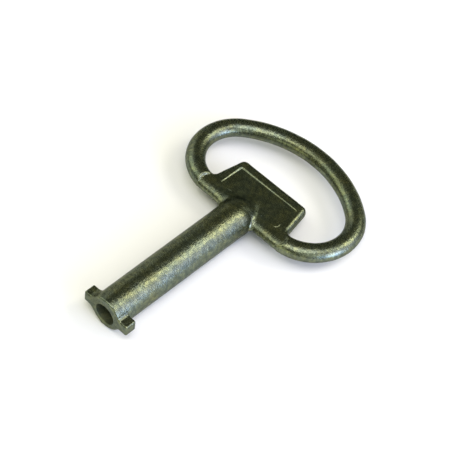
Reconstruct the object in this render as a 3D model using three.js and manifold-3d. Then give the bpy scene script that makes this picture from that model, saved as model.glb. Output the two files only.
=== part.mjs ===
// Double-bit panel key for radiator, air-handling and boiler casings: a single zinc die casting.
// The casting is built whole, then parted at plain planes into its named sections: the bow ring,
// the tag plate inside it, the collar at the shank's root, the hollow shank and the two bits.
// Millimetres. The key lies flat: bow in the XY plane, shank along Y, bits at the low-Y end, +Z up.
import * as THREE from "three";
import { mergeVertices } from "three/addons/utils/BufferGeometryUtils.js";
import Module from "manifold-3d";

const wasm = await Module();
wasm.setup();

// Shank: a slightly tapered tube with a blind pilot bore, ending in a rounded nose over the tag plate.
const TIP_RADIUS = 4.5;
const ROOT_RADIUS = 4.65;
const BORE_RADIUS = 2.75;
const BORE_DEPTH = 18;
const BORE_CONE = 1.2;
const MOUTH_CHAMFER = 0.25;
const NOSE_FACETS = 8;
const ROUND_FACETS = 48;
const NOSE_START = 42;
const NOSE_LENGTH = 4.6;

// Bits: two blocks flush with the tip, flared into the shank.
const BIT_REACH = 6.8;
const BIT_LENGTH = 3.05;
const BIT_HALF_THICKNESS = 1.5;
const BIT_CORNER = 0.45;
const BIT_FLARE = 1.2;
const BIT_EDGE = 0.2;

// Bow: an oval ring with one flat side, of elliptical section. Y values are on its centreline.
const RING_NEAR_Y = 45.5;
const RING_FAR_Y = 72.5;
const RING_FLAT_HALF = 11.5;
const RING_SIDE_RADIUS = 11.4;
const RING_HALF_WIDTH = 2.5;
const RING_HALF_HEIGHT = 2.15;
const RING_STEPS = 88;
const RING_SECTION_FACETS = 22;

// Tag plate: a slightly tapered slab inside the ring's flat side, with a shallow panel on each face.
const PLATE_HALF_THICKNESS = 1.55;
const PLATE_HALF_SPAN = 13;
const PLATE_ROOT_HALF = 12.1;
const PLATE_TOP_HALF = 10.55;
const PLATE_TOP_Y = 57.35;
const PLATE_CORNER = 1.1;
const PLATE_EDGE = 0.4;
const PANEL_HALF_WIDTH = 9.6;
const PANEL_LOW_Y = 47.3;
const PANEL_HIGH_Y = 54.7;
const PANEL_CORNER = 0.7;
const PANEL_DEPTH = 0.2;

// Fillet in the angle between the shank and the ring.
const GUSSET_RADIUS = 1.25;
const GUSSET_HALF_THICKNESS = 1.3;

// Planes at which the casting is parted into sections.
const COLLAR_LOW_Y = 41.2;
const COLLAR_HIGH_Y = 46.9;
const COLLAR_HALF = 6.6;
const PLATE_END_X = 13.6;
const BIT_ROOT_X = 3.9;
const BIT_BACK_Y = 3.3;

// How far a feature that grows out of the shank runs into its wall.
const ROOTED = 1;

const RING_SIDE_Y = RING_NEAR_Y + RING_SIDE_RADIUS;
const RING_INNER_Y = RING_NEAR_Y + RING_HALF_WIDTH;
const RING_OUTER_Y = RING_NEAR_Y - RING_HALF_WIDTH;
const OVERALL_LENGTH = RING_FAR_Y + RING_HALF_WIDTH;
const BEYOND = 100;

// A closed three.js geometry as a solid that can be joined and cut.
function solidOf(geometry) {
  const bare = geometry.index ? geometry.toNonIndexed() : geometry.clone();
  bare.deleteAttribute("normal");
  bare.deleteAttribute("uv");
  const merged = mergeVertices(bare, 1e-4);
  const mesh = new wasm.Mesh({
    numProp: 3,
    vertProperties: merged.attributes.position.array,
    triVerts: new Uint32Array(merged.index.array),
  });
  return new wasm.Manifold(mesh);
}

function geometryOf(solid) {
  const mesh = solid.getMesh();
  const geometry = new THREE.BufferGeometry();
  geometry.setAttribute("position", new THREE.BufferAttribute(mesh.vertProperties, 3));
  geometry.setIndex(new THREE.BufferAttribute(mesh.triVerts, 1));
  geometry.computeVertexNormals();
  return geometry;
}

// A box given by its low and high corners.
function block([x0, y0, z0], [x1, y1, z1]) {
  const box = new THREE.BoxGeometry(x1 - x0, y1 - y0, z1 - z0);
  box.translate((x0 + x1) / 2, (y0 + y1) / 2, (z0 + z1) / 2);
  return solidOf(box);
}

// An outline in plan, thickened equally above and below the bow's mid-plane, with rounded edges.
function slab(outline, halfThickness, edge, curveSegments) {
  const geometry = new THREE.ExtrudeGeometry(outline, {
    depth: 2 * (halfThickness - edge),
    bevelEnabled: edge > 0,
    bevelThickness: edge,
    bevelSize: edge,
    bevelOffset: -edge,
    bevelSegments: 3,
    curveSegments,
  });
  geometry.translate(0, 0, edge - halfThickness);
  return geometry;
}

// The ring's centreline, anticlockwise from x0 on its flat side round to x1 on the same side.
function ringCentreline(x0, x1) {
  const rise = RING_FAR_Y - RING_NEAR_Y - 2 * RING_SIDE_RADIUS;
  const turn = 2 * Math.atan2(RING_FLAT_HALF, rise);
  const farRadius = RING_SIDE_RADIUS + RING_FLAT_HALF / Math.sin(turn);
  const farY = RING_FAR_Y - farRadius;
  const sideEnd = turn - Math.PI / 2;
  const path = new THREE.Path();
  path.moveTo(x0, RING_NEAR_Y);
  path.lineTo(RING_FLAT_HALF, RING_NEAR_Y);
  path.absarc(RING_FLAT_HALF, RING_SIDE_Y, RING_SIDE_RADIUS, -Math.PI / 2, sideEnd, false);
  path.absarc(0, farY, farRadius, sideEnd, Math.PI - sideEnd, false);
  path.absarc(
    -RING_FLAT_HALF, RING_SIDE_Y, RING_SIDE_RADIUS, Math.PI - sideEnd, 1.5 * Math.PI, false,
  );
  path.lineTo(x1, RING_NEAR_Y);
  return path;
}

// A flat path carried into space, as the spine of a swept bar.
class Spine extends THREE.Curve {
  constructor(path) {
    super();
    this.path = path;
  }

  getPoint(t, target = new THREE.Vector3()) {
    const p = this.path.getPoint(t);
    return target.set(p.x, p.y, 0);
  }
}

// A bar of elliptical section along a flat path.
function bar(path, halfWidth, halfHeight, steps) {
  const section = new THREE.Shape();
  section.absellipse(0, 0, halfHeight, halfWidth, 0, 2 * Math.PI, false, 0);
  const geometry = new THREE.ExtrudeGeometry(section, {
    steps,
    curveSegments: RING_SECTION_FACETS / 2,
    bevelEnabled: false,
    extrudePath: new Spine(path),
  });
  return solidOf(geometry);
}

// The ring at full height, left open where the thinner bar of the tag plate takes over.
function ring() {
  const loop = bar(ringCentreline(1, -1), RING_HALF_WIDTH, RING_HALF_HEIGHT, RING_STEPS);
  const gap = block([-PLATE_HALF_SPAN, 0, -BEYOND], [PLATE_HALF_SPAN, RING_SIDE_Y, BEYOND]);
  return loop.subtract(gap);
}

// Half the plan of the tag plate as tangent points and arc centres, for the side at positive X.
function plateCorners() {
  const lean = Math.atan2(PLATE_ROOT_HALF - PLATE_TOP_HALF, PLATE_TOP_Y - RING_INNER_Y);
  const pocket = PLATE_HALF_SPAN - PLATE_ROOT_HALF;
  const pocketRadius = (pocket * Math.cos(lean)) / (1 - Math.sin(lean));
  const cornerX = PLATE_TOP_HALF + PLATE_CORNER * (Math.tan(lean) - 1 / Math.cos(lean));
  return { lean, pocketRadius, cornerX };
}

function plateOutline() {
  const { lean, pocketRadius, cornerX } = plateCorners();
  const nearY = RING_NEAR_Y - PLATE_EDGE;
  const pocketY = RING_INNER_Y + pocketRadius;
  const cornerY = PLATE_TOP_Y - PLATE_CORNER;
  const turned = Math.PI - lean;
  const outline = new THREE.Shape();
  outline.moveTo(-PLATE_HALF_SPAN, nearY);
  outline.lineTo(PLATE_HALF_SPAN, nearY);
  outline.absarc(PLATE_HALF_SPAN, pocketY, pocketRadius, 1.5 * Math.PI, Math.PI + lean, true);
  outline.absarc(cornerX, cornerY, PLATE_CORNER, lean, Math.PI / 2, false);
  outline.absarc(-cornerX, cornerY, PLATE_CORNER, Math.PI / 2, turned, false);
  outline.absarc(-PLATE_HALF_SPAN, pocketY, pocketRadius, -lean, -Math.PI / 2, true);
  return outline;
}

function panelOutline() {
  const outline = new THREE.Shape();
  const x = PANEL_HALF_WIDTH - PANEL_CORNER;
  const low = PANEL_LOW_Y + PANEL_CORNER;
  const high = PANEL_HIGH_Y - PANEL_CORNER;
  outline.absarc(x, low, PANEL_CORNER, -Math.PI / 2, 0, false);
  outline.absarc(x, high, PANEL_CORNER, 0, Math.PI / 2, false);
  outline.absarc(-x, high, PANEL_CORNER, Math.PI / 2, Math.PI, false);
  outline.absarc(-x, low, PANEL_CORNER, Math.PI, 1.5 * Math.PI, false);
  return outline;
}

// The slab of the tag plate and the bar along its shank side, whose crest is level with its faces.
function tagPlate() {
  const sideBar = new THREE.Path();
  sideBar.moveTo(-PLATE_HALF_SPAN, RING_NEAR_Y);
  sideBar.lineTo(PLATE_HALF_SPAN, RING_NEAR_Y);
  const nearBar = bar(sideBar, RING_HALF_WIDTH, PLATE_HALF_THICKNESS, 1);
  return solidOf(slab(plateOutline(), PLATE_HALF_THICKNESS, PLATE_EDGE, 5)).add(nearBar);
}

// The cutters for the shallow panels on the plate's upper and lower faces.
function panels() {
  const floor = PLATE_HALF_THICKNESS - PANEL_DEPTH;
  const through = solidOf(slab(panelOutline(), 2 * PLATE_HALF_THICKNESS, 0, 4));
  const core = block([-BEYOND, 0, -floor], [BEYOND, BEYOND, floor]);
  return through.subtract(core);
}

// The shank with its bore and nose, turned about the Y axis.
function shank() {
  const profile = [
    new THREE.Vector2(0, BORE_DEPTH + BORE_CONE),
    new THREE.Vector2(BORE_RADIUS, BORE_DEPTH),
    new THREE.Vector2(BORE_RADIUS, MOUTH_CHAMFER),
    new THREE.Vector2(BORE_RADIUS + MOUTH_CHAMFER, 0),
    new THREE.Vector2(TIP_RADIUS - MOUTH_CHAMFER, 0),
    new THREE.Vector2(TIP_RADIUS, MOUTH_CHAMFER),
    new THREE.Vector2(ROOT_RADIUS, NOSE_START),
  ];
  for (let i = 1; i < NOSE_FACETS; i++) {
    const angle = (i / NOSE_FACETS) * (Math.PI / 2);
    const radius = ROOT_RADIUS * Math.cos(angle);
    profile.push(new THREE.Vector2(radius, NOSE_START + NOSE_LENGTH * Math.sin(angle)));
  }
  profile.push(new THREE.Vector2(0, NOSE_START + NOSE_LENGTH));
  return solidOf(new THREE.LatheGeometry(profile, ROUND_FACETS));
}

// One bit in end view, from inside the shank's wall to its outer corners, for positive X.
function bitOutline() {
  const flareZ = BIT_HALF_THICKNESS + BIT_FLARE;
  const flareX = Math.sqrt((TIP_RADIUS + BIT_FLARE) ** 2 - flareZ ** 2);
  const flareAngle = Math.atan2(flareZ, flareX);
  const rootX = TIP_RADIUS - ROOTED;
  const rootZ = TIP_RADIUS * Math.sin(flareAngle);
  const outer = BIT_REACH - BIT_CORNER;
  const cornerZ = BIT_HALF_THICKNESS - BIT_CORNER;
  const outline = new THREE.Shape();
  outline.moveTo(rootX, rootZ);
  outline.lineTo(rootX, -rootZ);
  outline.absarc(flareX, -flareZ, BIT_FLARE, Math.PI - flareAngle, Math.PI / 2, true);
  outline.absarc(outer, -cornerZ, BIT_CORNER, -Math.PI / 2, 0, false);
  outline.absarc(outer, cornerZ, BIT_CORNER, 0, Math.PI / 2, false);
  outline.absarc(flareX, flareZ, BIT_FLARE, -Math.PI / 2, flareAngle - Math.PI, true);
  return outline;
}

function bit(side) {
  const geometry = new THREE.ExtrudeGeometry(bitOutline(), {
    depth: BIT_LENGTH - 2 * BIT_EDGE,
    bevelEnabled: true,
    bevelThickness: BIT_EDGE,
    bevelSize: BIT_EDGE,
    bevelOffset: -BIT_EDGE,
    bevelSegments: 1,
    curveSegments: 4,
  });
  geometry.rotateX(Math.PI / 2);
  geometry.translate(0, BIT_LENGTH - BIT_EDGE, 0);
  if (side < 0) geometry.rotateY(Math.PI);
  return solidOf(geometry);
}

// The fillet web in one angle between the shank and the ring's flat side.
function gusset(side) {
  const innerX = ROOT_RADIUS - ROOTED;
  const centreX = ROOT_RADIUS + GUSSET_RADIUS;
  const centreY = RING_OUTER_Y - GUSSET_RADIUS;
  const outline = new THREE.Shape();
  outline.moveTo(innerX, centreY);
  outline.absarc(centreX, centreY, GUSSET_RADIUS, Math.PI, Math.PI / 2, true);
  outline.lineTo(centreX, RING_NEAR_Y);
  outline.lineTo(innerX, RING_NEAR_Y);
  const geometry = slab(outline, GUSSET_HALF_THICKNESS, 0, 6);
  if (side < 0) geometry.rotateY(Math.PI);
  return solidOf(geometry);
}

function casting() {
  let whole = shank().add(tagPlate()).add(ring());
  for (const side of [-1, 1]) whole = whole.add(bit(side)).add(gusset(side));
  return whole.subtract(panels());
}

// Parts the casting at plane faces, so that neighbouring sections meet face to face.
function sections(whole) {
  const collarBox = block([-COLLAR_HALF, COLLAR_LOW_Y, -BEYOND], [COLLAR_HALF, COLLAR_HIGH_Y, BEYOND]);
  const plateBox = block(
    [-PLATE_END_X, COLLAR_LOW_Y, -BEYOND],
    [PLATE_END_X, PLATE_TOP_Y + 1, BEYOND],
  );
  const shankBox = block([-BEYOND, -1, -BEYOND], [BEYOND, COLLAR_LOW_Y, BEYOND]);
  const bitBoxes = [-1, 1].map((side) => {
    const [low, high] = [side * BIT_ROOT_X, side * BEYOND].sort((a, b) => a - b);
    return block([low, -1, -BEYOND], [high, BIT_BACK_Y, BEYOND]);
  });
  return {
    bow_ring: whole.subtract(plateBox).subtract(shankBox),
    tag_plate: whole.intersect(plateBox).subtract(collarBox),
    collar: whole.intersect(collarBox),
    shank: whole.intersect(shankBox).subtract(bitBoxes[0]).subtract(bitBoxes[1]),
    bit_left: whole.intersect(bitBoxes[0]),
    bit_right: whole.intersect(bitBoxes[1]),
  };
}

// Yellow-passivated zinc: a dark olive metal with a satin cast skin.
function passivatedZinc() {
  return new THREE.MeshStandardMaterial({ color: 0x77774f, roughness: 0.38, metalness: 0.95 });
}

// The key is centred over the origin and rests on the plane z = 0.
const key = new THREE.Group();
key.name = "double_bit_key";
key.position.set(0, -OVERALL_LENGTH / 2, ROOT_RADIUS);
for (const [name, solid] of Object.entries(sections(casting()))) {
  const mesh = new THREE.Mesh(geometryOf(solid), passivatedZinc());
  mesh.name = name;
  key.add(mesh);
}

export default key;
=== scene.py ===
import itertools
import math

import bpy
import numpy as np
from mathutils import Matrix, Vector


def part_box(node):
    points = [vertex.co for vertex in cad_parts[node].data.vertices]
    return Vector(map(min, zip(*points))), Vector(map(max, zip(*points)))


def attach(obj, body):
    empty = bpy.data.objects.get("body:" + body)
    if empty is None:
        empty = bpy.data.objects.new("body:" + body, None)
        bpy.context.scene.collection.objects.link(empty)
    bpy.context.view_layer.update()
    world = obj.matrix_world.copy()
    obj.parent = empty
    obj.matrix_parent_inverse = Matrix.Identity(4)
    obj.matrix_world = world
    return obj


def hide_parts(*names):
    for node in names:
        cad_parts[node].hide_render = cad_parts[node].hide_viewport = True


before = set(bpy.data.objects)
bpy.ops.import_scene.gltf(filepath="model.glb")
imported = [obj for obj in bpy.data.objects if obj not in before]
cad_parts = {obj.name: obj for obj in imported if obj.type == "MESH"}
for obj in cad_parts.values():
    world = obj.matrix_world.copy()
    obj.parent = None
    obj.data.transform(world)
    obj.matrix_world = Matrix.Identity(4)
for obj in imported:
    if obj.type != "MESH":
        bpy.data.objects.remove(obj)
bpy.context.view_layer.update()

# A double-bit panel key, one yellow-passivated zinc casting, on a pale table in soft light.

# The casting is described in millimetres from the centre of its tip: x across the bow, y from
# the tip towards the bow, z up from the shank's axis.
MM = 0.001
TINY = 1e-9
collar_low, collar_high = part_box("collar")
plate_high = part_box("tag_plate")[1]
bit_low, bit_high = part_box("bit_right")
TIP_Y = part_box("shank")[0].y / MM
AXIS_Z = (collar_low.z + collar_high.z) / 2 / MM
ORIGIN = np.array([0, TIP_Y, AXIS_Z])

# Shank. Its nose widens a little as it falls away towards the bow.
TIP_RADIUS = 4.5
ROOT_RADIUS = 4.65
NOSE_START = 40.9
NOSE_LENGTH = 5.7
NOSE_SPREAD = 0.2
BORE_RADIUS = 2.8
BORE_DEPTH = 18
BORE_CONE = 1.2
RIM_ROUND = 0.52
MOUTH_ROUND = 0.25

# The core that makes the bore sits a little off the shank's axis.
BORE_SHIFT_X = -0.15
BORE_SHIFT_Z = -0.42

# A nib is left where the metal ran into the tip's lower edge.
NIB_X = -1.0
NIB_Y = 0.45
NIB_Z = -4.2
NIB_RADIUS = 0.42

# Bits.
BIT_REACH = 6.88
BIT_LENGTH = 3.05
BIT_HALF_THICKNESS = 1.54
BIT_CORNER = 0.42
BIT_FLARE_LEFT = 1.2
BIT_FLARE_RIGHT = 0.5
BIT_EDGE = 0.3

# Bow. The ring is flat on its near side, round at its sides, and arched on its far side.
RING_NEAR_Y = 45.5
RING_FAR_Y = 72.5
RING_FLAT_HALF = 11.5
RING_SIDE_RADIUS = 11.4
RING_HALF_WIDTH = 2.5
RING_HALF_HEIGHT = 2.15
RING_INNER_Y = RING_NEAR_Y + RING_HALF_WIDTH
RING_SIDE_Y = RING_NEAR_Y + RING_SIDE_RADIUS
SIDE_TURN = 2 * math.atan2(RING_FLAT_HALF, RING_FAR_Y - RING_NEAR_Y - 2 * RING_SIDE_RADIUS)
FAR_RADIUS = RING_SIDE_RADIUS + RING_FLAT_HALF / math.sin(SIDE_TURN)
FAR_CENTRE_Y = RING_FAR_Y - FAR_RADIUS

# Tag plate.
PLATE_HALF_THICKNESS = 1.55
PLATE_ROOT_HALF = 12.3
PLATE_TOP_HALF = 10.6
PLATE_TOP_Y = 57.35
PLATE_LEAN = (PLATE_ROOT_HALF - PLATE_TOP_HALF) / (PLATE_TOP_Y - RING_INNER_Y)
PLATE_CORNER = 1.35
PLATE_EDGE = 1.3
PLATE_TUCK = 1.3
PLATE_SHIFT = -0.08
POCKET_ROUND = 0.85

# The bar that the plate stands on, cut down to the plate's level between two steps.
BAR_EDGE = 1.4
BAR_THINNEST = 0.05
STEP_HALF = 12.5
STEP_LEAN = 0.32
STEP_SLANT_LEFT = 1.0
STEP_SLANT_RIGHT = 1.5
STEP_EDGE = 0.2
STEP_FOOT = 0.25
STEP_OVERLAP = 1

# The shallow panel in both faces of the plate.
PANEL_HALF_WIDTH = 9.35
PANEL_LOW_Y = 46.95
PANEL_HIGH_Y = 54.75
PANEL_MIDDLE_Y = (PANEL_LOW_Y + PANEL_HIGH_Y) / 2
PANEL_CORNER = 0.6
PANEL_DEPTH = 0.12
PANEL_DRAFT = 1.5
PANEL_ROUND = 0.05
PANEL_TILT_X = 0.008
PANEL_TILT_Y = 0.022

# A lip of metal stands along the panel's outline at its near right corner.
LIP_X = 9.1
LIP_Y = 47.6
LIP_REACH = 1.15
LIP_HEIGHT = 0.12
LIP_WIDTH = 0.15

# The fillet where the shank meets the bow is wide over the plate, and tight on the right.
ROOT_FILLET = 2.3
ROOT_FILLET_EXTRA = 1.7
ROOT_FILLET_SPREAD = 2.5
ROOT_FILLET_RIGHT = 0.9
ROOT_FILLET_TURN_X = 2.6
ROOT_FILLET_TURN = 1.2

# The seam where the die's halves met, and the slow unevenness of the die's polish.
SEAM_HEIGHT = 0.04
SEAM_WIDTH = 0.14
UNEVEN_HEIGHT = 0.012
UNEVEN_WAVES = 14
UNEVEN_SEED = 11
UNEVEN_SHORTEST = 2.2
UNEVEN_LONGEST = 7

# The net's grid: cells to spare round a section, how far past its CAD box the section may
# reach, as the fillet over the plate does, and the passes that even the net out.
SPARE_CELLS = 2.5
GRID_MARGIN = 0.6
FIRST_SETTLE = 3
RELAX_PASSES = 2
RELAX_SHARE = 0.5
RELAX_SETTLE = 2
SLOPE_REACH = 0.01
FLATTEST_SLOPE = 1e-3
PAIR = (0, 1)

# Colours of the passivation film on the metal.
OLIVE_DARK = (0.112, 0.129, 0.088)
OLIVE = (0.146, 0.163, 0.109)
OLIVE_YELLOW = (0.2, 0.215, 0.125)
DRIFT_YELLOW = (1.0, 0.98, 0.88)
DRIFT_BLUE = (0.94, 1.0, 1.12)
FILM_AT_GRAZING = (0.54, 0.54, 0.54, 1)

# The skin's three noises, by the size of their lumps, and how high two of them stand.
GRAIN_SIZE = 0.32
PEEL_SIZE = 1.1
DRIFT_SIZE = 6.0
NOISE_DETAIL = 2.0
GRAIN_HEIGHT = 0.06
PEEL_HEIGHT = 0.04

GLOSSIEST = 0.2
DULLEST = 0.34
BORE_ROUGHNESS = 0.55
BORE_METALLIC = 0.85
BORE_LOOK_ENDS = 1.02
SKIN_LOOK_STARTS = 1.08

# Camera: degrees round from -Y and up, millimetres, and a lens for a 36 mm sensor.
CAMERA_AZIMUTH = 35.94
CAMERA_ELEVATION = 50.54
CAMERA_ROLL = 10.33
CAMERA_DISTANCE = 333
CAMERA_ASIDE = 2.2
CAMERA_ABOVE = 1.62
CAMERA_TARGET_Y = 36
CAMERA_LENS = 112
CAMERA_NEAREST = 0.01
CAMERA_FARTHEST = 20

# Metres from the key to every light, and from the key to the table's edges.
LIGHT_DISTANCE = 0.8
TABLE_HALF = 4
TABLE_COLOUR = (0.9, 0.9, 0.9, 1)
TABLE_ROUGHNESS = 0.8
ROOM_COLOUR = (0.97, 1.0, 0.66, 1)
ROOM_BRIGHTNESS = 0.15


def round_join(a, b, radius):
    """The union of two distance fields with a fillet of that radius."""
    corner = np.hypot(np.maximum(radius - a, 0), np.maximum(radius - b, 0))
    return np.maximum(radius, np.minimum(a, b)) - corner


def round_cut(a, b, radius):
    """What two distance fields share, with its edge rounded to that radius."""
    corner = np.hypot(np.maximum(radius + a, 0), np.maximum(radius + b, 0))
    return np.minimum(-radius, np.maximum(a, b)) + corner


def ellipse(across, up, half_width, half_height):
    """Distance from an elliptical bar, good near its surface."""
    u = across / half_width
    v = up / half_height
    size = np.hypot(u, v) + TINY
    steepness = np.hypot(u / half_width, v / half_height) / size + TINY
    return (size - 1) / steepness


def ring_offset(x, y):
    """How far a point lies outside the ring's centreline, in plan. x is positive."""
    from_side = np.hypot(x - RING_FLAT_HALF, y - RING_SIDE_Y) - RING_SIDE_RADIUS
    from_far = np.hypot(x, y - FAR_CENTRE_Y) - FAR_RADIUS
    turn = np.arctan2(y - RING_SIDE_Y, x - RING_FLAT_HALF) + math.pi / 2
    beside = (x > RING_FLAT_HALF) & (turn < SIDE_TURN)
    before = (x <= RING_FLAT_HALF) & (y < RING_SIDE_Y)
    return np.where(before, RING_NEAR_Y - y, np.where(beside, from_side, from_far))


def seam(z):
    """How far the metal stands proud along the parting line."""
    return SEAM_HEIGHT * np.exp(-(z / SEAM_WIDTH) ** 2)


def make_waves():
    """Directions, phases and weights of the sines that make the casting uneven."""
    chance = np.random.default_rng(UNEVEN_SEED)
    heading = chance.normal(size=(UNEVEN_WAVES, 3))
    heading /= np.linalg.norm(heading, axis=1)[:, None]
    length = chance.uniform(UNEVEN_SHORTEST, UNEVEN_LONGEST, UNEVEN_WAVES)
    phase = chance.uniform(0, 2 * math.pi, UNEVEN_WAVES)
    return heading * (2 * math.pi / length)[:, None], phase, length / length.sum()


WAVES = make_waves()


def unevenness(points):
    """How far the cast surface stands proud of its ideal shape."""
    heading, phase, weight = WAVES
    out = np.zeros(len(points))
    for k in range(UNEVEN_WAVES):
        out += weight[k] * np.sin(points @ heading[k] + phase[k])
    return out * UNEVEN_HEIGHT * math.sqrt(UNEVEN_WAVES)


def shank(x, y, z):
    """(The shank's tapered side, the shank with its rounded nose.)"""
    taper = np.clip(y / NOSE_START, 0, 1)
    side = np.hypot(x, z) - TIP_RADIUS - (ROOT_RADIUS - TIP_RADIUS) * taper
    past = np.maximum(y - NOSE_START, 0) / NOSE_LENGTH
    wide = np.hypot(x / (1 + NOSE_SPREAD * past), z) / ROOT_RADIUS
    nose = (np.hypot(wide, past) - 1) * ROOT_RADIUS
    return side, np.where(y < NOSE_START, side, nose)


def bore(x, y, z):
    """The blind pilot bore, with a cone at its end."""
    from_core = np.hypot(x - BORE_SHIFT_X, z - BORE_SHIFT_Z)
    bottom = BORE_DEPTH + BORE_CONE * (1 - from_core / BORE_RADIUS)
    return np.maximum(from_core - BORE_RADIUS, y - bottom)


def shank_and_bits(x, y, z):
    """The shank, the bits at its tip, and the bore."""
    side, stem = shank(x, y, z)
    block = round_cut(np.abs(x) - BIT_REACH, np.abs(z) - BIT_HALF_THICKNESS, BIT_CORNER)
    flared = round_join(side, block, np.where(x > 0, BIT_FLARE_RIGHT, BIT_FLARE_LEFT))
    bits = round_cut(flared, y - BIT_LENGTH, BIT_EDGE)
    heel = round_join(stem, round_cut(block, y - BIT_LENGTH, BIT_EDGE), 2 * BIT_EDGE)
    tip = np.minimum(np.minimum(stem, bits), heel) - seam(z)
    tip = round_cut(tip, -y, RIM_ROUND)
    nib = np.sqrt((x - NIB_X) ** 2 + (y - NIB_Y) ** 2 + (z - NIB_Z) ** 2) - NIB_RADIUS
    tip = round_join(tip, nib, NIB_RADIUS / 2)
    return round_cut(tip, -bore(x, y, z), MOUTH_ROUND)


def panel_floor(x, y):
    """Height of the panel's floor: the die's insert sat slightly askew."""
    depth = PANEL_DEPTH - PANEL_TILT_X * x + PANEL_TILT_Y * (y - PANEL_MIDDLE_Y)
    return PLATE_HALF_THICKNESS - depth


def panel_plan(x, y):
    """Distance from the panel's outline, in plan."""
    half = (PANEL_HIGH_Y - PANEL_LOW_Y) / 2
    across = np.abs(x - PLATE_SHIFT)
    return round_cut(across - PANEL_HALF_WIDTH, np.abs(y - PANEL_MIDDLE_Y) - half, PANEL_CORNER)


def recess(x, y, z, plan):
    """What the panel takes out of the plate, with walls that slant as a die's do."""
    wall = plan - PANEL_DRAFT * (np.abs(z) - PLATE_HALF_THICKNESS)
    wall = wall / math.hypot(1, PANEL_DRAFT)
    return round_cut(wall, panel_floor(x, y) - np.abs(z), PANEL_ROUND)


def step_line(y):
    """Where the ring steps up from the plate's level, across the bow."""
    return STEP_HALF + STEP_LEAN * (RING_INNER_Y - y)


def plate(x, y, z):
    """The tag plate, with its foot spread into the ring's flat side."""
    across = np.abs(x - PLATE_SHIFT)
    lean = math.hypot(1, PLATE_LEAN)
    side = (across - PLATE_ROOT_HALF + PLATE_LEAN * (y - RING_INNER_Y)) / lean
    plan = round_cut(side, y - PLATE_TOP_Y, PLATE_CORNER)
    plan = round_join(plan, y - RING_INNER_Y, POCKET_ROUND)
    before = RING_NEAR_Y - PLATE_TUCK - y
    beside = np.abs(x) - step_line(y) - STEP_OVERLAP
    plan = np.maximum(plan, np.maximum(before, beside))
    return round_cut(plan, np.abs(z) - PLATE_HALF_THICKNESS, PLATE_EDGE)


def bow(x, y, z):
    """The oval ring, cut down to the tag plate's level between two steps, and the plate."""
    across = np.abs(x)
    offset = ring_offset(across, y)
    above = np.abs(z) - PLATE_HALF_THICKNESS
    ring = ellipse(offset, z, RING_HALF_WIDTH, RING_HALF_HEIGHT)
    thin = np.sqrt(np.maximum(1 - (z / RING_HALF_HEIGHT) ** 2, BAR_THINNEST))
    low = round_cut(np.abs(offset) - RING_HALF_WIDTH * thin, above, BAR_EDGE)
    slant = np.where(x > 0, STEP_SLANT_RIGHT, STEP_SLANT_LEFT)
    slanted = (step_line(y) + slant * above - across) / np.hypot(1, slant)
    beyond = round_cut(ring, slanted, STEP_EDGE)
    tall = np.where(y < RING_SIDE_Y, beyond, ring)
    return np.minimum(round_join(tall, plate(x, y, z), STEP_FOOT), low) - seam(z)


def lip(x, y, plan):
    """How far the lip stands proud, from the distance to the panel's outline."""
    along = np.hypot(x - LIP_X, y - LIP_Y) / LIP_REACH
    return LIP_HEIGHT * np.exp(-(plan / LIP_WIDTH) ** 2 - along ** 4)


def root_fillet(x):
    """The radius of the fillet where the shank meets the bow."""
    share = (1 + np.tanh((x - ROOT_FILLET_TURN_X) / ROOT_FILLET_TURN)) / 2
    radius = ROOT_FILLET + (ROOT_FILLET_RIGHT - ROOT_FILLET) * share
    return radius + ROOT_FILLET_EXTRA * np.exp(-(x / ROOT_FILLET_SPREAD) ** 2)


def casting(points):
    """Signed distance to the whole casting, in millimetres, negative inside."""
    x, y, z = points[:, 0], points[:, 1], points[:, 2]
    plan = panel_plan(x, y)
    panelled = round_cut(bow(x, y, z), -recess(x, y, z, plan), PANEL_ROUND)
    whole = round_join(shank_and_bits(x, y, z), panelled, root_fillet(x))
    return whole - lip(x, y, plan) - unevenness(points)


def slope(field, points):
    """The gradient of a distance field."""
    out = np.empty_like(points)
    for axis in range(3):
        nudge = np.zeros(3)
        nudge[axis] = SLOPE_REACH
        out[:, axis] = (field(points + nudge) - field(points - nudge)) / (2 * SLOPE_REACH)
    return out


# The planes that part the casting into its sections, as boxes in the casting's own millimetres.
FAR_OFF = 200
ANYWHERE = (-FAR_OFF, FAR_OFF)
SHANK_END = collar_low.y / MM - TIP_Y
COLLAR_END = collar_high.y / MM - TIP_Y
COLLAR_HALF = collar_high.x / MM
PLATE_HALF = plate_high.x / MM
PLATE_BOX_END = RING_SIDE_Y + 1.5
BIT_ROOT = bit_low.x / MM
BIT_BACK = bit_high.y / MM - TIP_Y
EVERYTHING = (ANYWHERE, ANYWHERE, ANYWHERE)
COLLAR_BOX = ((-COLLAR_HALF, COLLAR_HALF), (SHANK_END, COLLAR_END), ANYWHERE)
PLATE_BOX = ((-PLATE_HALF, PLATE_HALF), (SHANK_END, PLATE_BOX_END), ANYWHERE)
SHANK_BOX = (ANYWHERE, (-FAR_OFF, SHANK_END), ANYWHERE)
RIGHT_BOX = ((BIT_ROOT, FAR_OFF), (-FAR_OFF, BIT_BACK), ANYWHERE)
LEFT_BOX = ((-FAR_OFF, -BIT_ROOT), (-FAR_OFF, BIT_BACK), ANYWHERE)

# For each section: the box it lies in, the boxes left out of it, and its net's mesh size.
SECTIONS = {
    "bow_ring": (EVERYTHING, (PLATE_BOX, SHANK_BOX), 0.16),
    "tag_plate": (PLATE_BOX, (COLLAR_BOX,), 0.11),
    "collar": (COLLAR_BOX, (), 0.12),
    "shank": (SHANK_BOX, (LEFT_BOX, RIGHT_BOX), 0.15),
    "bit_left": (LEFT_BOX, (), 0.08),
    "bit_right": (RIGHT_BOX, (), 0.08),
}


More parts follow.
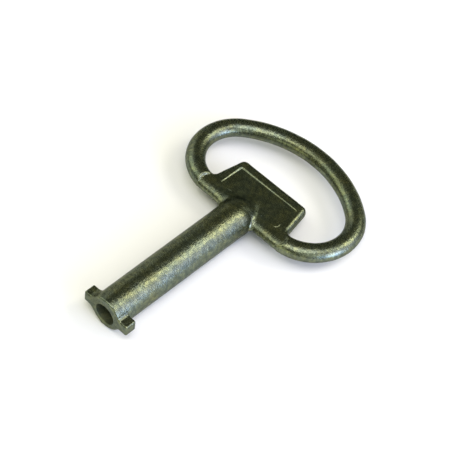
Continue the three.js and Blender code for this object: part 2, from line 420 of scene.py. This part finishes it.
def box_distance(points, box):
    """Distance to a box, measured to its nearest face: negative inside."""
    out = np.full(len(points), -np.inf)
    for axis, (low, high) in enumerate(box):
        out = np.maximum(out, np.maximum(low - points[:, axis], points[:, axis] - high))
    return out


def region_distance(points, node):
    """Distance to the region that a section takes of the casting."""
    inside, outside, _ = SECTIONS[node]
    out = box_distance(points, inside)
    for box in outside:
        out = np.maximum(out, -box_distance(points, box))
    return out


def ruled_axis(low, high, stops, step):
    """Cell centres from low to high about a step apart, with one exactly at each stop."""
    marks = [low, *sorted(s for s in stops if low < s < high), high]
    runs = []
    for a, b in zip(marks, marks[1:]):
        count = max(1, round((b - a) / step))
        runs.append(a + (b - a) * np.arange(count) / count)
    return np.concatenate([*runs, [high]])


def ruled_grid(node):
    """Cell centres round a section, along each axis, with parting planes on some of them."""
    inside, outside, step = SECTIONS[node]
    low, high = (np.array(corner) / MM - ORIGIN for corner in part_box(node))
    margin = SPARE_CELLS * step + GRID_MARGIN
    centres = []
    for axis in range(3):
        stops = {box[axis][side] for box in (inside, *outside) for side in PAIR}
        centres.append(ruled_axis(low[axis] - margin, high[axis] + margin, stops, step))
    return centres


def every_point(lines):
    """The points of a grid, from its lines of numbers along each axis."""
    return np.stack(np.meshgrid(*lines, indexing="ij"), -1)


def lined_up(line, axis):
    """A line of numbers, shaped to lie along one axis of a grid."""
    return line.reshape([-1 if k == axis else 1 for k in range(3)])


def ends(values, axis, rest=slice(None)):
    """The values at the near and at the far end of each grid edge along an axis."""
    near = [rest] * 3
    far = [rest] * 3
    near[axis] = slice(0, -1)
    far[axis] = slice(1, None)
    return values[tuple(near)], values[tuple(far)]


def crossings(depth, region, corners):
    """For each cell: its edge crossings' sum and count, and the axes whose planes cut it."""
    values = np.maximum(depth, region)
    cells = tuple(n - 1 for n in values.shape)
    total = np.zeros((*cells, 3))
    hits = np.zeros(cells)
    held = np.zeros((*cells, 3), bool)
    for axis in range(3):
        a, b = ends(values, axis)
        crossed = (a < 0) != (b < 0)
        share = np.where(crossed, a / np.where(crossed, a - b, 1), 0)
        near, far = ends(region, axis)
        parted = (near < 0) != (far < 0)
        near, far = ends(depth, axis)
        cut = crossed & parted & (near + far < 0)
        start = lined_up(corners[axis][:-1], axis)
        width = lined_up(np.diff(corners[axis]), axis)
        others = [k for k in range(3) if k != axis]
        for shifts in itertools.product(PAIR, PAIR):
            pick = [slice(None)] * 3
            place = np.zeros((*cells, 3))
            for other, shift in zip(others, shifts):
                pick[other] = slice(shift, shift + cells[other])
                place[..., other] = lined_up(corners[other][pick[other]], other)
            pick = tuple(pick)
            place[..., axis] = start + share[pick] * width
            total += place * crossed[pick][..., None]
            hits += crossed[pick]
            held[..., axis] |= cut[pick]
    return total, hits, held


def on_skin(depth, active, held):
    """Which cells the casting's skin runs through, as seen on the planes that hold them."""
    cells = active.shape
    around = np.empty((active.sum(), 2, 2, 2))
    for i, j, k in itertools.product(PAIR, PAIR, PAIR):
        part = depth[i:i + cells[0], j:j + cells[1], k:k + cells[2]]
        around[:, i, j, k] = part[active]
    for axis in range(3):
        mean = around.mean(axis + 1, keepdims=True)
        around = np.where(held[:, axis, None, None, None], mean, around)
    around = around.reshape(len(around), -1)
    return (around.min(1) < 0) & (around.max(1) >= 0)


def quads_between(filled, number):
    """A quad across each grid edge that leaves the section, wound to face outwards."""
    quads = []
    for axis in range(3):
        a, b = [k for k in range(3) if k != axis]
        first, second = ends(filled, axis, slice(1, -1))
        where = np.argwhere(first != second)
        outward = first[tuple(where.T)]
        ring = []
        for shift_a, shift_b in ((0, 0), (1, 0), (1, 1), (0, 1)):
            cell = where.copy()
            cell[:, a] += shift_a
            cell[:, b] += shift_b
            ring.append(number[tuple(cell.T)])
        quad = np.stack(ring, 1)
        if axis == 1:
            outward = ~outward
        quad[~outward] = quad[~outward][:, ::-1]
        quads.append(quad)
    return np.concatenate(quads)


def surface_net(field, node):
    """A closed net of quads round one section: (vertices, quads, held axes, skin mask)."""
    centres = ruled_grid(node)
    corners = [(line[1:] + line[:-1]) / 2 for line in centres]
    shape = tuple(len(line) for line in corners)
    grid = every_point(corners).reshape(-1, 3)
    region = region_distance(grid, node).reshape(shape)
    depth = field(grid).reshape(shape)

    # One vertex in each cell whose corners disagree, first at the mean of its edge crossings.
    # A cell that a parting plane cuts holds its vertex on that plane.
    total, hits, held = crossings(depth, region, corners)
    active = hits > 0
    number = np.full(active.shape, -1)
    number[active] = np.arange(active.sum())
    held = held[active]
    middle = every_point([line[1:-1] for line in centres])[active]
    vertices = np.where(held, middle, total[active] / hits[active][:, None])
    quads = quads_between(np.maximum(depth, region) < 0, number)
    return vertices, quads, held, on_skin(depth, active, held)


def settle(vertices, held, skin, rounds):
    """Moves skin vertices onto the surface, without leaving the planes that hold them."""
    free = ~held[skin]
    for _ in range(rounds):
        at = vertices[skin]
        pull = slope(casting, at) * free
        size = np.maximum((pull ** 2).sum(1), FLATTEST_SLOPE)
        vertices[skin] = at - (casting(at) / size)[:, None] * pull
    return vertices


def relax(vertices, quads, held):
    """Evens the net out: each vertex moves towards its neighbours' mean."""
    total = np.zeros_like(vertices)
    count = np.zeros(len(vertices))
    for i in range(4):
        a, b = quads[:, i], quads[:, (i + 1) % 4]
        for source, target in ((a, b), (b, a)):
            np.add.at(total, target, vertices[source])
            np.add.at(count, target, 1)
    mean = total / np.maximum(count, 1)[:, None]
    # A vertex on a parting plane moves only within it.
    move = (mean - vertices) * RELAX_SHARE
    move[held] = 0
    return vertices + move


def unit(vectors):
    return vectors / np.maximum(np.linalg.norm(vectors, axis=1), TINY)[:, None]


def corner_normals(vertices, quads, held, skin):
    """A normal at each quad's corners: the field's own on the skin, flat on the partings."""
    normals = unit(slope(casting, vertices))[quads]
    edge_a = vertices[quads[:, 2]] - vertices[quads[:, 0]]
    edge_b = vertices[quads[:, 3]] - vertices[quads[:, 1]]
    flat = unit(np.cross(edge_a, edge_b))
    parting = ~skin[quads].all(1) | held[quads].all(1).any(1)
    normals[parting] = flat[parting][:, None]
    return normals.reshape(-1, 3)


def section(node):
    """One section of the casting as a closed mesh with smooth, seamless shading."""
    vertices, quads, held, skin = surface_net(casting, node)
    vertices = settle(vertices, held, skin, FIRST_SETTLE)
    for _ in range(RELAX_PASSES):
        vertices = relax(vertices, quads, held)
        vertices = settle(vertices, held, skin, RELAX_SETTLE)

    mesh = bpy.data.meshes.new(node)
    mesh.from_pydata(((vertices + ORIGIN) * MM).tolist(), [], quads.tolist())
    mesh.polygons.foreach_set("use_smooth", [True] * len(mesh.polygons))
    mesh.normals_split_custom_set(corner_normals(vertices, quads, held, skin).tolist())
    piece = bpy.data.objects.new(node + "_cast", mesh)
    bpy.context.scene.collection.objects.link(piece)
    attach(piece, "root")
    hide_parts(node)
    return piece


def new_node(tree, kind, **values):
    """A shader node with its properties, and its inputs by name, set."""
    node = tree.nodes.new(kind)
    for name, value in values.items():
        if name in node.inputs:
            node.inputs[name].default_value = value
        else:
            setattr(node, name, value)
    return node


def noise(tree, place, grain):
    """A noise whose lumps are about that many millimetres across."""
    scale = 1 / (grain * MM)
    node = new_node(tree, "ShaderNodeTexNoise", Scale=scale, Detail=NOISE_DETAIL)
    tree.links.new(place.outputs["Object"], node.inputs["Vector"])
    return node.outputs["Fac"]


def ramp(tree, source, *stops):
    """A colour ramp of (place, colour) stops."""
    node = tree.nodes.new("ShaderNodeValToRGB")
    elements = node.color_ramp.elements
    while len(elements) < len(stops):
        elements.new(0.5)
    for element, (place, colour) in zip(elements, stops):
        element.position = place
        element.color = (*colour, 1)
    tree.links.new(source, node.inputs["Fac"])
    return node.outputs["Color"]


def spread(tree, source, low, high, from_low=0.3, from_high=0.7):
    """A number that runs from low to high as the source does between its own two."""
    node = new_node(tree, "ShaderNodeMapRange")
    values = (from_low, from_high, low, high)
    for name, value in zip(("From Min", "From Max", "To Min", "To Max"), values):
        node.inputs[name].default_value = value
    tree.links.new(source, node.inputs["Value"])
    return node.outputs["Result"]


def combine(tree, operation, first, second):
    """Two numbers that change over the surface, made into one."""
    node = new_node(tree, "ShaderNodeMath", operation=operation)
    tree.links.new(first, node.inputs[0])
    tree.links.new(second, node.inputs[1])
    return node.outputs["Value"]


def shifted(tree, operation, source, by):
    """A place on the surface, changed by a fixed vector."""
    node = new_node(tree, "ShaderNodeVectorMath", operation=operation)
    tree.links.new(source, node.inputs[0])
    node.inputs[1].default_value = by
    return node.outputs["Vector"]


def bump(tree, source, height, below=None):
    """A bump of that many millimetres, on top of another if there is one."""
    node = new_node(tree, "ShaderNodeBump", Strength=1.0, Distance=height * MM)
    tree.links.new(source, node.inputs["Height"])
    if below:
        tree.links.new(below, node.inputs["Normal"])
    return node.outputs["Normal"]


def inside_bore(tree, place):
    """1 on the bore's wall and bottom, 0 elsewhere."""
    axis = (BORE_SHIFT_X * MM, 0, (AXIS_Z + BORE_SHIFT_Z) * MM)
    away = shifted(tree, "SUBTRACT", place.outputs["Object"], axis)
    across = shifted(tree, "MULTIPLY", away, (1, 0, 1))
    size = new_node(tree, "ShaderNodeVectorMath", operation="LENGTH")
    tree.links.new(across, size.inputs[0])
    parts = new_node(tree, "ShaderNodeSeparateXYZ")
    tree.links.new(place.outputs["Object"], parts.inputs["Vector"])
    rim = BORE_RADIUS * MM
    back = (TIP_Y + BORE_DEPTH + 2 * BORE_CONE) * MM
    wall = (rim * BORE_LOOK_ENDS, rim * SKIN_LOOK_STARTS)
    near = spread(tree, size.outputs["Value"], 1, 0, *wall)
    ahead = spread(tree, parts.outputs["Y"], 1, 0, back, back + MM)
    return combine(tree, "MULTIPLY", near, ahead)


def film_colour(tree, peel, drift):
    """Olive that goes with the skin's lumps, and drifts between yellow and blue."""
    tone = ramp(tree, peel, (0.34, OLIVE_DARK), (0.5, OLIVE), (0.66, OLIVE_YELLOW))
    cast = ramp(tree, drift, (0.35, DRIFT_YELLOW), (0.65, DRIFT_BLUE))
    mix = new_node(tree, "ShaderNodeMix", data_type="RGBA", blend_type="MULTIPLY")
    mix.inputs["Factor"].default_value = 1.0
    # A Mix node's inputs 6 and 7 and its output 2 are its colours.
    tree.links.new(tone, mix.inputs[6])
    tree.links.new(cast, mix.inputs[7])
    return mix.outputs[2]


def passivated_zinc():
    """Yellow-passivated zinc with the fine orange-peel skin of a die casting."""
    material = bpy.data.materials.new("passivated_zinc")
    material.use_nodes = True
    tree = material.node_tree
    shader = tree.nodes["Principled BSDF"]
    place = tree.nodes.new("ShaderNodeTexCoord")
    grain = noise(tree, place, GRAIN_SIZE)
    peel = noise(tree, place, PEEL_SIZE)
    drift = noise(tree, place, DRIFT_SIZE)
    tree.links.new(film_colour(tree, peel, drift), shader.inputs["Base Color"])
    # The film dulls what the metal mirrors at a grazing angle.
    shader.inputs["Specular Tint"].default_value = FILM_AT_GRAZING

    hole = inside_bore(tree, place)
    metallic = spread(tree, hole, 1.0, BORE_METALLIC, 0, 1)
    tree.links.new(metallic, shader.inputs["Metallic"])
    gloss = spread(tree, grain, GLOSSIEST, DULLEST)
    dull = spread(tree, hole, 0, BORE_ROUGHNESS, 0, 1)
    tree.links.new(combine(tree, "MAXIMUM", gloss, dull), shader.inputs["Roughness"])
    uneven = bump(tree, peel, PEEL_HEIGHT)
    tree.links.new(bump(tree, grain, GRAIN_HEIGHT, uneven), shader.inputs["Normal"])
    return material


def aim(azimuth, elevation):
    """The direction to a place that far round from -Y towards +X, and that far up."""
    a, e = math.radians(azimuth), math.radians(elevation)
    return Vector((math.sin(a) * math.cos(e), -math.cos(a) * math.cos(e), math.sin(e)))


def soft_light(name, azimuth, elevation, breadth, brightness, colour):
    """A round diffuser facing the key, that many degrees from its middle to its rim."""
    radius = LIGHT_DISTANCE * math.tan(math.radians(breadth))
    light = bpy.data.lights.new(name, "AREA")
    light.shape = "DISK"
    light.size = 2 * radius
    light.energy = (math.pi * radius) ** 2 * brightness
    light.color = colour
    lamp = bpy.data.objects.new(name, light)
    back = aim(azimuth, elevation)
    lamp.location = back * LIGHT_DISTANCE
    lamp.rotation_mode = "QUATERNION"
    lamp.rotation_quaternion = back.to_track_quat("Z", "Y")
    bpy.context.scene.collection.objects.link(lamp)


def studio():
    """A ring of soft lights: warm in front and to the left, bluish windows on the right."""
    soft_light("overhead", 72, 78, 16, 3.4, (1.0, 0.97, 1.02))
    soft_light("front", 320, 58, 14, 2.1, (1.0, 0.99, 0.88))
    soft_light("front_top", 0, 66, 14, 1.2, (1.0, 0.98, 0.96))
    soft_light("front_right", 33, 65, 8, 6.5, (1.0, 1.0, 0.92))
    soft_light("front_low", 0, 8, 18, 1.7, (0.98, 1.0, 0.7))
    soft_light("left", 290, 32, 18, 1.7, (0.98, 1.0, 0.74))
    soft_light("left_back", 262, 27, 20, 0.8, (1.0, 1.0, 0.98))
    soft_light("window_left", 60, 32, 18, 1.7, (1.0, 1.0, 0.87))
    soft_light("window_side", 97, 26, 15, 3.3, (0.98, 0.97, 1.35))
    soft_light("window", 126, 25, 12, 0.85, (0.94, 0.97, 1.35))
    soft_light("window_wide", 118, 24, 26, 0.8, (0.94, 0.97, 1.35))
    soft_light("window_top", 140, 48, 12, 5.5, (1.0, 0.95, 0.82))
    soft_light("back_right", 160, 36, 14, 1.2, (1.0, 1.0, 0.8))
    soft_light("horizon", 90, 8, 18, 4.0, (0.75, 1.0, 1.8))


def room():
    """The faint light that comes from everywhere, and plain colours in the picture."""
    scene = bpy.context.scene
    scene.view_settings.view_transform = "Standard"
    scene.world = bpy.data.worlds.new("world")
    scene.world.use_nodes = True
    background = scene.world.node_tree.nodes["Background"]
    background.inputs["Color"].default_value = ROOM_COLOUR
    background.inputs["Strength"].default_value = ROOM_BRIGHTNESS


def camera():
    """The photograph's view: from above the tip's right side, with the key lying aslant."""
    turn = math.radians(CAMERA_AZIMUTH)
    roll = math.radians(CAMERA_ROLL)
    back = aim(CAMERA_AZIMUTH, CAMERA_ELEVATION)
    right = Vector((math.cos(turn), math.sin(turn), 0))
    up = back.cross(right)
    tilted_right = math.cos(roll) * right + math.sin(roll) * up
    tilted_up = -math.sin(roll) * right + math.cos(roll) * up
    target = Vector((0, CAMERA_TARGET_Y + TIP_Y, AXIS_Z))
    aside = tilted_right * CAMERA_ASIDE + tilted_up * CAMERA_ABOVE
    data = bpy.data.cameras.new("camera")
    data.lens = CAMERA_LENS
    data.clip_start = CAMERA_NEAREST
    data.clip_end = CAMERA_FARTHEST
    view = bpy.data.objects.new("camera", data)
    view.matrix_world = Matrix((tilted_right, tilted_up, back)).transposed().to_4x4()
    view.location = (target + aside + back * CAMERA_DISTANCE) * MM
    bpy.context.scene.collection.objects.link(view)
    bpy.context.scene.camera = view


def floor():
    """The table that the key lies on."""
    mesh = bpy.data.meshes.new("floor")
    half = TABLE_HALF
    corners = [(-half, -half, 0), (half, -half, 0), (half, half, 0), (-half, half, 0)]
    mesh.from_pydata(corners, [], [(0, 1, 2, 3)])
    table = bpy.data.objects.new("floor", mesh)
    material = bpy.data.materials.new("floor")
    material.use_nodes = True
    shader = material.node_tree.nodes["Principled BSDF"]
    shader.inputs["Base Color"].default_value = TABLE_COLOUR
    shader.inputs["Roughness"].default_value = TABLE_ROUGHNESS
    mesh.materials.append(material)
    bpy.context.scene.collection.objects.link(table)


camera()
floor()
zinc = passivated_zinc()
for node in SECTIONS:
    section(node).data.materials.append(zinc)
studio()
room()
